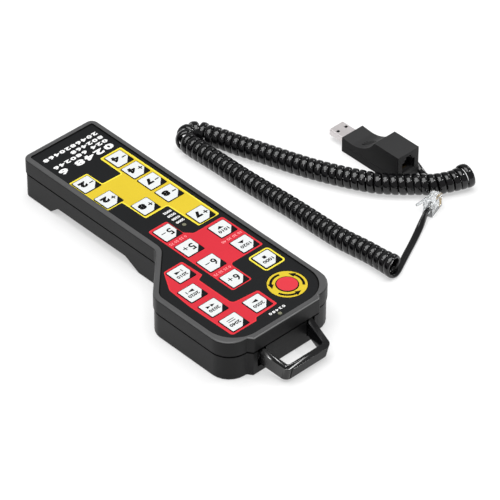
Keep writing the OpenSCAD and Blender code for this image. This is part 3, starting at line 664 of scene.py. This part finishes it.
def stop_gap():
    """Cutting tool for the round window of the stop button."""
    return rod("stop_gap", (STOP_X, STOP_Y, FILM_Z), STOP_R + GAP, 2, sides=64)


gap_tool = thicken(square("key_gap", 0, 0, KEY_W + 2 * GAP, KEY_R, FILM_Z - 1), (0, 0, 2))
gaps = [placed(copied(gap_tool, "key_gap_tool"), (x, y, 0)) for name, x, y in KEYS]
all_gaps = joined("all_gaps", gaps + [stop_gap()])
bpy.data.objects.remove(gap_tool)


def ink(name, colour):
    """Screen-printing ink of a colour."""
    return grained(name, colour, 0.42, shade=0.1, spread=0.1, fineness=5200, relief=0.08,
                   Specular_IOR_Level=0.2)


def printed(name, corners, border, line, field):
    """Field of ink with a border line of its own colour, cut out round the keys."""
    sheet = thicken(drawn(name, corners, flat_at(FILM_Z), 6), (0, 0, INK_T))
    dress(sheet, line, field)
    bpy.ops.object.mode_set(mode="EDIT")
    pick(sheet, "FACE", lambda c, n: n.z > 0.9)
    bpy.ops.mesh.inset(thickness=border * MM, use_even_offset=True)
    second_finish(sheet)
    carve(sheet, copied(all_gaps, "gaps"))
    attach(sheet, "pendant")


yellow_line = ink("yellow_line_ink", (0.76, 0.64, 0.05))
yellow_field = ink("yellow_field_ink", (0.577, 0.43, 0.023))
red_line = ink("red_line_ink", (0.64, 0.025, 0.035))
red_field = ink("red_field_ink", (0.525, 0.021, 0.035))
white_ink = ink("white_ink", (0.74, 0.74, 0.74))
# Black ink for the prints; the same black also paints shade in the face's edge gap and under the
# USB holes.
black_ink_and_shade = grained("black_ink_and_shade", (0.002, 0.002, 0.002), 0.5, Specular_IOR_Level=0.1)
pink_ink = ink("pink_ink", (0.85, 0.35, 0.36))

printed("print_yellow_field",
        [(-5.5, -57.8, 1.1), (-5.2, -71.6, 1.1), (9.7, -71.6, 1.1), (9.7, -36, 1.1),
         (-1.9, -36, 1.1), (-2.3, -15.1, 1.1), (-20, -15.1, 1.1), (-20.8, 11.7, 1.1),
         (-37.6, 11.7, 1.1), (-37.6, -77.2, 1.1), (-20.7, -77.2, 1.1), (-20.5, -57.3, 1.1)],
        0.9, yellow_line, yellow_field)
printed("print_red_rates",
        [(-9.5, -4.5, 1.5), (5.5, -4.5, 1.5), (5.5, 69.4, 1.5), (-10.2, 69.4, 1.5),
         (-10.2, 50.5, 2.5), (-37, 50.5, 1.2), (-37, 14.8, 1.8), (-14, 14.8, 3), (-9.5, 10, 2)],
        0.7, red_line, red_field)
printed("print_red_cycle",
        [(9.3, 29.5, 1.5), (23.8, 29.6, 2), (32.4, 44, 3), (33.8, 63, 6), (33, 98.5, 2),
         (14, 98.6, 1), (12, 96.3, 1), (-5.6, 95.5, 1), (-5.6, 79.2, 1.2), (13.4, 77.4, 3),
         (13.4, 48.8, 1.5), (8.6, 46.6, 1)], 0.7, red_line, red_field)


def ink_or_shade_line(name, corners, arc, width, material):
    """Closed line of ink, or of black painted shade, that follows the inside of an outline."""
    line = drawn(name, corners, flat_at(FILM_Z), arc)
    focus(line)
    bpy.ops.object.mode_set(mode="EDIT")
    bpy.ops.mesh.select_all(action="SELECT")
    bpy.ops.mesh.inset(thickness=width * MM, use_even_offset=True)
    bpy.ops.mesh.delete(type="FACE")
    bpy.ops.object.mode_set(mode="OBJECT")
    thicken(line, (0, 0, INK_T))
    dress(line, material)
    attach(line, "pendant")


# The black line round the face, in the gap by the rim, is painted shade.
ink_or_shade_line("painted_gap_shade_line", moved_in(face_plan, RIM_W + GAP), 10, 0.55, black_ink_and_shade)
ink_or_shade_line("print_stop_frame", [(-37.2, 53.8, 2.4), (-20.8, 53.8, 2.4), (-20.8, 70.2, 2.4),
                                  (-37.2, 70.2, 2.4)], 6, 1.1, yellow_line)


def numbers(body, x, y, width, height, z, bold=0.0, apart=1.0):
    """Row of plain numbers as a thin solid, centred at x, y and stretched to a size in mm."""
    bpy.ops.object.select_all(action="DESELECT")
    bpy.ops.object.text_add(location=(0, 0, 0))
    row = bpy.context.object
    row.data.body = body
    row.data.resolution_u = 2
    row.data.offset = bold
    row.data.space_character = apart
    row.data.extrude = 0.01
    bpy.ops.object.convert(target="MESH")
    row = bpy.context.object
    xs = [v.co.x for v in row.data.vertices]
    ys = [v.co.y for v in row.data.vertices]
    grow = Vector((width / (max(xs) - min(xs)), height / (max(ys) - min(ys)), 2)) * MM
    row.scale = grow
    row.location = Vector((x, y, z)) * MM - Vector(((max(xs) + min(xs)) / 2 * grow.x,
                                                    (max(ys) + min(ys)) / 2 * grow.y, 0))
    bpy.ops.object.transform_apply(location=True, rotation=True, scale=True)
    return row


def finished_print(name, rows, material):
    """Joins the rows of a print, inks them and fixes them to the face."""
    sheet = joined(name, rows)
    dress(sheet, material)
    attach(sheet, "pendant")


ON_FILM, ON_FIELD = FILM_Z + 0.01, INK_TOP + 0.01
marks = [numbers(body, x, y, width, height, ON_FILM, 0.05, 1.25)
         for body, x, y, width, height in (("0248 6", -14.6, -82.6, 43, 5.2),
                                           ("024 680246", -15, -88.4, 43, 3.2),
                                           ("802468", -24, -93, 25.5, 3.2),
                                           ("2046820468", -15, -98, 43, 3.2))]
marks += [numbers(body, -15.7, y, 6.2, 2, ON_FILM, 0.04)
          for body, y in (("0002", -10.6), ("0020", -6.8), ("0200", -3.0), ("2000", 0.8))]
marks.append(numbers("02480", -1.4, 99.7, 12.6, 2, ON_FILM, 0.03, 1.3))
finished_print("print_white_numbers", marks, white_ink)
marks = [numbers(body, x, y, width, 2, ON_FIELD)
         for body, x, y, width in (("0 25 50 75", -2.3, 13.6, 13), ("0 25 50 75", -2.3, 52.2, 13),
                                   ("10 20 30 40", -27.5, 33.1, 15.5))]
finished_print("print_pink_numbers", marks, pink_ink)

# ---- Keys ---------------------------------------------------------------------------------
# Nineteen black tiles and a stop key, each with a white label whose far corner is cut off.
# A key rests on its tact switch and goes down half a millimetre in its window.

KEY_Z, KEY_TOP, LABEL_T = 27.8, 28.5, 0.04
LABEL_Z = KEY_TOP + 0.05
tile_black = grained("key_tile_black", (0.003, 0.003, 0.004), 0.4, fineness=4000, relief=0.1,
                     Specular_IOR_Level=0.15)
label_white = grained("key_label_white", (0.62, 0.64, 0.64), 0.38, shade=0.04, spread=0.1,
                      fineness=4000, relief=0.05)
blank = thicken(square("key_blank", 0, 0, KEY_W, KEY_R, KEY_Z), (0, 0, KEY_TOP - KEY_Z))
dress(blank, tile_black, label_white, black_ink_and_shade)
bpy.ops.object.mode_set(mode="EDIT")
pick(blank, "FACE", lambda c, n: n.z > 0.9)
bpy.ops.mesh.region_to_loop()
bpy.ops.mesh.bevel(offset=0.1 * MM, segments=2, affect="EDGES")
pick(blank, "FACE", lambda c, n: n.z > 0.9 and c.z > KEY_TOP - 0.01)
bpy.ops.mesh.inset(thickness=0.3 * MM, use_even_offset=True)
bpy.ops.mesh.bisect(plane_co=(-1.3 * MM, 6.1 * MM, 0), plane_no=(-1, 1, 0), use_fill=False)
pick(blank, "FACE", lambda c, n: n.z > 0.9 and abs(c.x) + abs(c.y) < 3)
bpy.ops.mesh.extrude_region_move(TRANSFORM_OT_translate={"value": (0, 0, LABEL_T * MM)})
second_finish(blank)


def bar(x0, y0, x1, y1):
    """Printed bar between two corners on a key's label."""
    return block("bar", (x0, y0, LABEL_Z - LABEL_T / 2), (x1, y1, LABEL_Z + LABEL_T / 2))


def wedge(*corners):
    """Printed triangle on a key's label."""
    return thicken(drawn("wedge", [(x, y, 0) for x, y in corners], flat_at(LABEL_Z - LABEL_T / 2)),
                   (0, 0, LABEL_T))


def sign(kind, x, y, size, line):
    """Printed plus or minus sign."""
    rows = [bar(x - size, y - line, x + size, y + line)]
    if kind == "+":
        rows.append(bar(x - line, y - size, x + line, y + size))
    return rows


def axis_marks(number, kind):
    """Large number and its sign, as on the keys that move an axis."""
    return [numbers(number, 1.8, -0.9, 5.2, 5.2, LABEL_Z, 0.08)] + sign(kind, -3.7, 0.2, 1.6, 0.42)


def rate_marks(number, kind):
    """Tall number and its sign, as on the keys that set a rate."""
    return [numbers(number, -2.2, 0.2, 3.6, 5.8, LABEL_Z, 0.02)] + sign(kind, 2.4, -0.7, 1.7, 0.3)


ICONS = {"down": ([], [((-2, -0.9), (0.3, -3.2), (2.6, -0.9))]),
         "up": ([], [((-2, -3.2), (2.6, -3.2), (0.3, -0.9))]),
         "halt": ([(-1, -3.2, 1.3, -0.9)], []),
         "home": ([(-2.8, -3.2, -2.2, -0.9)], [((2.8, -3.2), (2.8, -0.9), (-1.6, -2.05))]),
         "step": ([(2.4, -3.2, 3, -0.9)], [((-2.6, -0.9), (-2.6, -3.2), (1.8, -2.05))]),
         "again": ([], [((-3, -2.05), (0, -3.2), (0, -0.9)),
                        ((0.3, -2.05), (3.3, -3.2), (3.3, -0.9))]),
         "spin": ([(-2.4, -3.1, 3, -2.6), (-2.4, -1.5, 3, -1)], []),
         "go": ([], [((-1.8, -0.9), (-1.8, -3.2), (2.6, -2.05))])}


def task_marks(number, icon):
    """Small number over an icon of bars and wedges, as on the keys that start a task."""
    bars, wedges = ICONS[icon]
    return ([numbers(number, 0.3, 1.6, 8, 2.6, LABEL_Z, 0.03)] + [bar(*b) for b in bars]
            + [wedge(*w) for w in wedges])


MARKS = {"key_a_minus": axis_marks("4", "-"), "key_a_plus": axis_marks("4", "+"),
         "key_y_minus": axis_marks("7", "-"), "key_x_minus": axis_marks("8", "-"),
         "key_y_plus": axis_marks("7", "+"), "key_z_minus": axis_marks("2", "-"),
         "key_z_plus": axis_marks("2", "+"), "key_x_plus": axis_marks("8", "+"),
         "key_jog_down": rate_marks("5", "-"), "key_jog_up": rate_marks("5", "+"),
         "key_feed_down": rate_marks("6", "-"), "key_feed_up": rate_marks("6", "+"),
         "key_speed_down": task_marks("1010", "down"), "key_speed_up": task_marks("1020", "up"),
         "key_stop": task_marks("1000", "halt"), "key_origin": task_marks("2010", "home"),
         "key_single_step": task_marks("2020", "step"), "key_redo": task_marks("2030", "again"),
         "key_spindle": task_marks("2040", "spin"), "key_cycle_start": task_marks("2050", "go")}
for name, x, y in KEYS:
    legend = joined(name + "_marks", MARKS[name])
    dress(legend, black_ink_and_shade)
    cap = joined(name + "_cap", [copied(blank, name + "_cap"), legend])
    placed(cap, (x, y, 0))
    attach(cap, name)
    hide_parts(name)
bpy.data.objects.remove(blank)

# ---- Emergency stop -----------------------------------------------------------------------
# A flat red button with a dark rim in the middle of a printed yellow disc. Black arrows run
# round the disc, and the button goes down half a millimetre.

DISC_R, DISC_T = 12.45, 0.03
ARROW_INNER, ARROW_OUTER, ARROW_T, ARROW_STEPS = 9, 10.6, 0.02, 8
stop_red = grained("stop_red", (0.58, 0.02, 0.035), 0.4, shade=0.05, spread=0.1, fineness=4000,
                   relief=0.05)
button = rod("stop_button", (STOP_X, STOP_Y, (KEY_Z + KEY_TOP) / 2), STOP_R, KEY_TOP - KEY_Z,
             sides=64)
dress(button, tile_black, stop_red)
bpy.ops.object.mode_set(mode="EDIT")
pick(button, "FACE", lambda c, n: n.z > 0.9)
bpy.ops.mesh.inset(thickness=0.35 * MM)
bpy.ops.mesh.inset(thickness=0.12 * MM, depth=0.06 * MM)
second_finish(button)
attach(button, "emergency_stop_button")
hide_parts("emergency_stop_button")

disc = rod("print_stop_disc", (STOP_X, STOP_Y, FILM_Z + DISC_T / 2), DISC_R, DISC_T, sides=96)
dress(disc, black_ink_and_shade, yellow_field)
bpy.ops.object.mode_set(mode="EDIT")
pick(disc, "FACE", lambda c, n: n.z > 0.9)
bpy.ops.mesh.inset(thickness=0.45 * MM)
second_finish(disc)
carve(disc, stop_gap())
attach(disc, "pendant")


def on_disc(r, degrees):
    """Corner of an outline at a distance and a direction from the button's middle."""
    a = math.radians(degrees)
    return STOP_X + r * math.cos(a), STOP_Y + r * math.sin(a), 0


arrows = []
for begin in (15, 135, 255):
    turns = [begin + k * 8 for k in range(ARROW_STEPS + 1)]
    tip = [on_disc(11.7, begin + 64), on_disc(9.8, begin + 88), on_disc(7.9, begin + 64)]
    outline = ([on_disc(ARROW_OUTER, a) for a in turns] + tip
               + [on_disc(ARROW_INNER, a) for a in turns[::-1]])
    arrows.append(thicken(drawn("arrow", outline, flat_at(FILM_Z + DISC_T)), (0, 0, ARROW_T)))
finished_print("print_stop_arrows", arrows, black_ink_and_shade)
bpy.data.objects.remove(all_gaps)

# ---- Lights and inner parts ---------------------------------------------------------------
# Two round light pipes end flush in the face. The board with its switches and chips hangs
# under the deck, and steel screws from below close the case.

lens = grained("light_lens", (0.16, 0.16, 0.11), 0.25, shade=0.2, fineness=2000, relief=0.05)
board_green = grained("circuit_board", (0.02, 0.12, 0.05), 0.35, fineness=1500, relief=0.3)
switch_plastic = grained("switch_plastic", (0.02, 0.02, 0.022), 0.4)
chip_plastic = grained("chip_plastic", (0.015, 0.015, 0.016), 0.5, fineness=3500)
gold = grained("gold_contacts", (0.9, 0.62, 0.22), 0.25, shade=0.08, relief=0.05, Metallic=1.0)
steel = grained("screw_steel", (0.55, 0.55, 0.57), 0.32, shade=0.12, fineness=1800, relief=0.15,
                Metallic=1.0)
dark_steel = grained("pin_steel", (0.02, 0.02, 0.022), 0.45, Metallic=0.6)
socket_grey = grained("socket_plastic", (0.035, 0.035, 0.037), 0.38)
tongue_black = grained("tongue_plastic", (0.012, 0.012, 0.013), 0.4)
for material, nodes in (
        (lens, ("power_led", "status_led")),
        (board_green, ("circuit_board", "adapter_board")),
        (switch_plastic, ("tact_switches",)),
        (chip_plastic, ("controller_chips", "adapter_chip")),
        (gold, ("cord_socket_contacts", "adapter_socket_contacts", "usb_contacts",
                "plug_contacts_front", "plug_contacts_rear")),
        (steel, ("case_screws", "board_screws")),
        (dark_steel, ("hanger_pins",)),
        (socket_grey, ("cord_socket", "adapter_socket")),
        (tongue_black, ("usb_tongue",))):
    for node in nodes:
        dress(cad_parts[node], material)

# ---- Hanger loop --------------------------------------------------------------------------
# One glossy black nylon moulding, bent to a flat U. Its two round knuckles turn on pins in the
# plinth's pockets, and it hangs down a little from level.

DROOP, HINGE_Y, HINGE_Z = 14, 104.5, 12.2
BAR_H, LOOP_LEN, LOOP_ROOT, LOOP_TIP = 9, 24.5, 22.3, 17.4
KNUCKLE_X, KNUCKLE_W, PIN_HOLE_R = 20.15, 4.3, 1.55
loop = drawn("hanger_loop_bar",
             [(-LOOP_ROOT, 0, 0), (-18, 0, 0), (-14.2, 20.5, 1.5), (14.2, 20.5, 1.5), (18, 0, 0),
              (LOOP_ROOT, 0, 0), (LOOP_TIP, LOOP_LEN, 4.5), (-LOOP_TIP, LOOP_LEN, 4.5)],
             flat_at(-BAR_H / 2), 12)
thicken(loop, (0, 0, BAR_H))
for x in (-KNUCKLE_X, KNUCKLE_X):
    carve(loop, rod("knuckle", (x, 0, 0), BAR_H / 2, KNUCKLE_W, "X", 48), how="UNION")
# The rounding collapses: almost all its faces are narrower than 0.0001 mm, so the bar's edges
# stay sharp. They change only the shading, and that alone is what lights the edges.
soften(loop, 1.1, 6, angle=40, smooth=40)
for x in (-KNUCKLE_X, KNUCKLE_X):
    carve(loop, rod("pin_hole", (x, 0, 0), PIN_HOLE_R, 6, "X", 32))
faired(loop)
placed(loop, (0, HINGE_Y, HINGE_Z), (math.radians(-DROOP), 0, 0))
dress(loop, grained("loop_plastic", (0.004, 0.004, 0.0045), 0.18, shade=0.1, spread=0.08,
                    fineness=1500, relief=0.02))
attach(loop, "hanger_loop")
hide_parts("hanger_loop")

# ---- USB adapter --------------------------------------------------------------------------
# A small two-part box, low at the nose and high at the back, with a thumb hollow between. The
# nose holds a folded steel USB shell, and the back a six-way modular socket.

AX, AY = -168.85, -7.6
ADAPTER_W, ADAPTER_L, ADAPTER_H, NOSE_H, ADAPTER_WALL = 18.1, 49.2, 21.9, 10.8, 1.8
SADDLE_R, SADDLE_Y, SADDLE_LOW, SADDLE_STEPS = 22, 8.6, NOSE_H - 0.7, 20
ADAPTER_SEAM, ADAPTER_ROUND = 5.4, 0.3


def side_profile(inset):
    """Side view of the adapter from its nose: y and z of each corner, moved in by inset."""
    r = SADDLE_R + inset
    middle_z = SADDLE_LOW + SADDLE_R
    sweep = math.acos((middle_z - ADAPTER_H + inset) / r)
    turns = [sweep * k / SADDLE_STEPS for k in range(SADDLE_STEPS, -1, -1)]
    saddle = [(SADDLE_Y + r * math.sin(a), middle_z - r * math.cos(a)) for a in turns]
    return [(inset, inset), (ADAPTER_L - inset, inset), (ADAPTER_L - inset, ADAPTER_H - inset),
            *saddle, (inset, NOSE_H - inset)]


def adapter_solid(name, inset):
    """Solid body of the adapter, smaller all round by inset."""
    half = ADAPTER_W / 2 - inset
    return thicken(drawn(name, side_profile(inset), lambda a, b: Vector((AX - half, AY + a, b))),
                   (2 * half, 0, 0))


adapter = adapter_solid("adapter_upper", 0)
carve(adapter, adapter_solid("hollow", ADAPTER_WALL),
      block("usb_way", (AX - 6.1, AY - 1, 3.1), (AX + 6.1, AY + 3, 7.8)),
      mouth_cutter("window", AX, AY + ADAPTER_L + 1, 8.3, 4, -1))
adapter_low = copied(adapter, "adapter_lower")
for half, keep_up in ((adapter, True), (adapter_low, False)):
    focus(half)
    bpy.ops.object.mode_set(mode="EDIT")
    bpy.ops.mesh.select_all(action="SELECT")
    bpy.ops.mesh.bisect(plane_co=(0, 0, ADAPTER_SEAM * MM), plane_no=(0, 0, 1), use_fill=True,
                        clear_inner=keep_up, clear_outer=not keep_up)
    bpy.ops.mesh.select_all(action="SELECT")
    bpy.ops.mesh.normals_make_consistent(inside=False)
    bpy.ops.object.mode_set(mode="OBJECT")
    soften(half, ADAPTER_ROUND, 2, angle=30, smooth=30)


def ridge_edge(r):
    """Corners along one edge of a bent ridge in the thumb hollow."""
    return [(AX - 1.5 + r * math.cos(a / 6), AY + 14 + r * math.sin(a / 6) * 0.8, 0)
            for a in range(-1, 11)]


ridges = []
for r in (2.4, 4.2, 6):
    outline = ridge_edge(r + 0.3) + ridge_edge(r - 0.3)[::-1]
    ridges.append(thicken(drawn("ridge", outline, flat_at(9)), (0, 0, 6)))
ridge = joined("thumb_ridges", ridges)
carve(ridge, adapter_solid("proud", -0.2), how="INTERSECT")
adapter_grey = grained("adapter_plastic", (0.022, 0.022, 0.0225), 0.5, shade=0.2,
                       fineness=2200, relief=0.4, Specular_IOR_Level=0.25)
# A darker grey for the side faces: painted shade.
adapter_side_shade = grained("adapter_side_painted_shade", (0.0062, 0.0062, 0.0066), 0.6, shade=0.2,
                        fineness=2200, relief=0.4, Specular_IOR_Level=0.15)
# Faces turned sideways take the darker grey, painted shade on the sides.
for piece, node in ((adapter, "adapter_upper_case"), (adapter_low, "adapter_lower_case"),
                    (ridge, None)):
    dress(piece, adapter_grey, adapter_side_shade)
    focus(piece)
    bpy.ops.object.mode_set(mode="EDIT")
    pick(piece, "FACE", lambda c, n: abs(n.x) > 0.8)
    second_finish(piece)
    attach(piece, "pendant")
    if node:
        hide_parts(node)

USB_HALF_W, USB_LOW, USB_TOP, USB_NOSE, USB_SHEET = 6, 3.2, 7.7, 14.4, 0.3
HOLE_X, HOLE_HALF_W, HOLE_FROM, HOLE_TO = 3.45, 1.1, 9.8, 7.9
usb = block("usb_plug_shell", (AX - USB_HALF_W, AY - USB_NOSE, USB_LOW),
            (AX + USB_HALF_W, AY + 8, USB_TOP))
bpy.ops.object.mode_set(mode="EDIT")
pick(usb, "EDGE", lambda c, d: abs(d.y) > 0.9)
bpy.ops.mesh.bevel(offset=0.6 * MM, segments=3, affect="EDGES")
bpy.ops.object.mode_set(mode="OBJECT")
carve(usb, block("usb_hollow", (AX - USB_HALF_W + USB_SHEET, AY - 16, USB_LOW + USB_SHEET),
                 (AX + USB_HALF_W - USB_SHEET, AY + 9, USB_TOP - USB_SHEET)))
for x in (AX - HOLE_X, AX + HOLE_X):
    for low, high in ((6, 9), (2, 5)):
        carve(usb, block("latch_hole", (x - HOLE_HALF_W, AY - HOLE_FROM, low),
                         (x + HOLE_HALF_W, AY - HOLE_TO, high)))
carve(usb, block("fold_line", (AX - 0.06, AY - 15, 3), (AX + 0.06, AY + 9, 3.35)))
soften(usb, 0.06, 1)
dress(usb, grained("usb_steel", (0.7, 0.665, 0.665), 0.48, shade=0.1, fineness=1200, relief=0.06,
                   Metallic=1.0))
# A black sheet under the latch holes is painted shade inside the shell.
hole_shade = block("usb_hole_shade", (AX - 5.6, AY - 11.5, 7), (AX + 5.6, AY - 6, 7.38))
dress(hole_shade, black_ink_and_shade)
usb = joined("usb_plug_shell", [usb, hole_shade])
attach(usb, "pendant")
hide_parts("usb_shell")

# ---- Modular plugs ------------------------------------------------------------------------
# Two clear polycarbonate six-way plugs, crimped on the cord's ends. Each has gold blades at
# its nose and a springy latch, which flexes as a body of its own.

PLUG_L, PLUG_T, PLUG_W, SLOT_PITCH = 14, 6.6, 9.65, 1.02
LATCH_RISE, LATCH_T = math.radians(160), 0.9
clear = grained("clear_plastic", (0.93, 0.95, 0.96), 0.08, shade=0.05, spread=0.1, fineness=900,
                relief=0.08, Transmission_Weight=0.9, IOR=1.45)

plug = block("clear_plug", (0, -PLUG_T / 2, -PLUG_W / 2), (PLUG_L, PLUG_T / 2, PLUG_W / 2))
carve(plug, block("throat", (-1, -1.3, -2.4), (5, 1.3, 2.4)),
      block("wedge_pocket", (4.2, 2, -2.6), (6.6, 5, 2.6)),
      block("latch_bed", (-1, 2.9, -2), (13.2, 5, 2)))
for k in range(6):
    z = (k - 2.5) * SLOT_PITCH
    carve(plug, block("slot", (10, -5, z - 0.24), (13.4, -0.85, z + 0.24)))
soften(plug, 0.22, 2, angle=50)
latch_way = Vector((math.cos(LATCH_RISE), math.sin(LATCH_RISE), 0))
latch_up = Vector((latch_way.y, -latch_way.x, 0))
hinge = Vector((PLUG_L - 1, PLUG_T / 2 + 0.65, 0))
latch = drawn("plug_latch", [(-0.4, -1.6, 0), (4.5, -1.6, 2), (7, -1.15, 2), (12.6, -0.9, 0.5),
                             (12.6, 0.9, 0.5), (7, 1.15, 2), (4.5, 1.6, 2), (-0.4, 1.6, 0)],
              lambda a, b: hinge + latch_way * a - latch_up * LATCH_T / 2 + Vector((0, 0, b)))
thicken(latch, latch_up * LATCH_T)
soften(latch, 0.2, 2, angle=50)
for name, x, y, heading, flip in (("front", -152.5, 74.6, 199, 0),
                                  ("rear", -181.7, 28.5, -90, 180)):
    place, turn = (x, y, PLUG_W / 2), (math.radians(flip), 0, math.radians(heading))
    one = placed(copied(plug, "clear_plug_" + name), place, turn)
    dress(one, clear)
    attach(one, "pendant")
    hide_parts("plug_" + name)
    tab = placed(copied(latch, "clear_latch_" + name), place, turn)
    dress(tab, clear)
    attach(tab, "plug_latch_" + name)
    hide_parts("plug_latch_" + name)
bpy.data.objects.remove(plug)
bpy.data.objects.remove(latch)
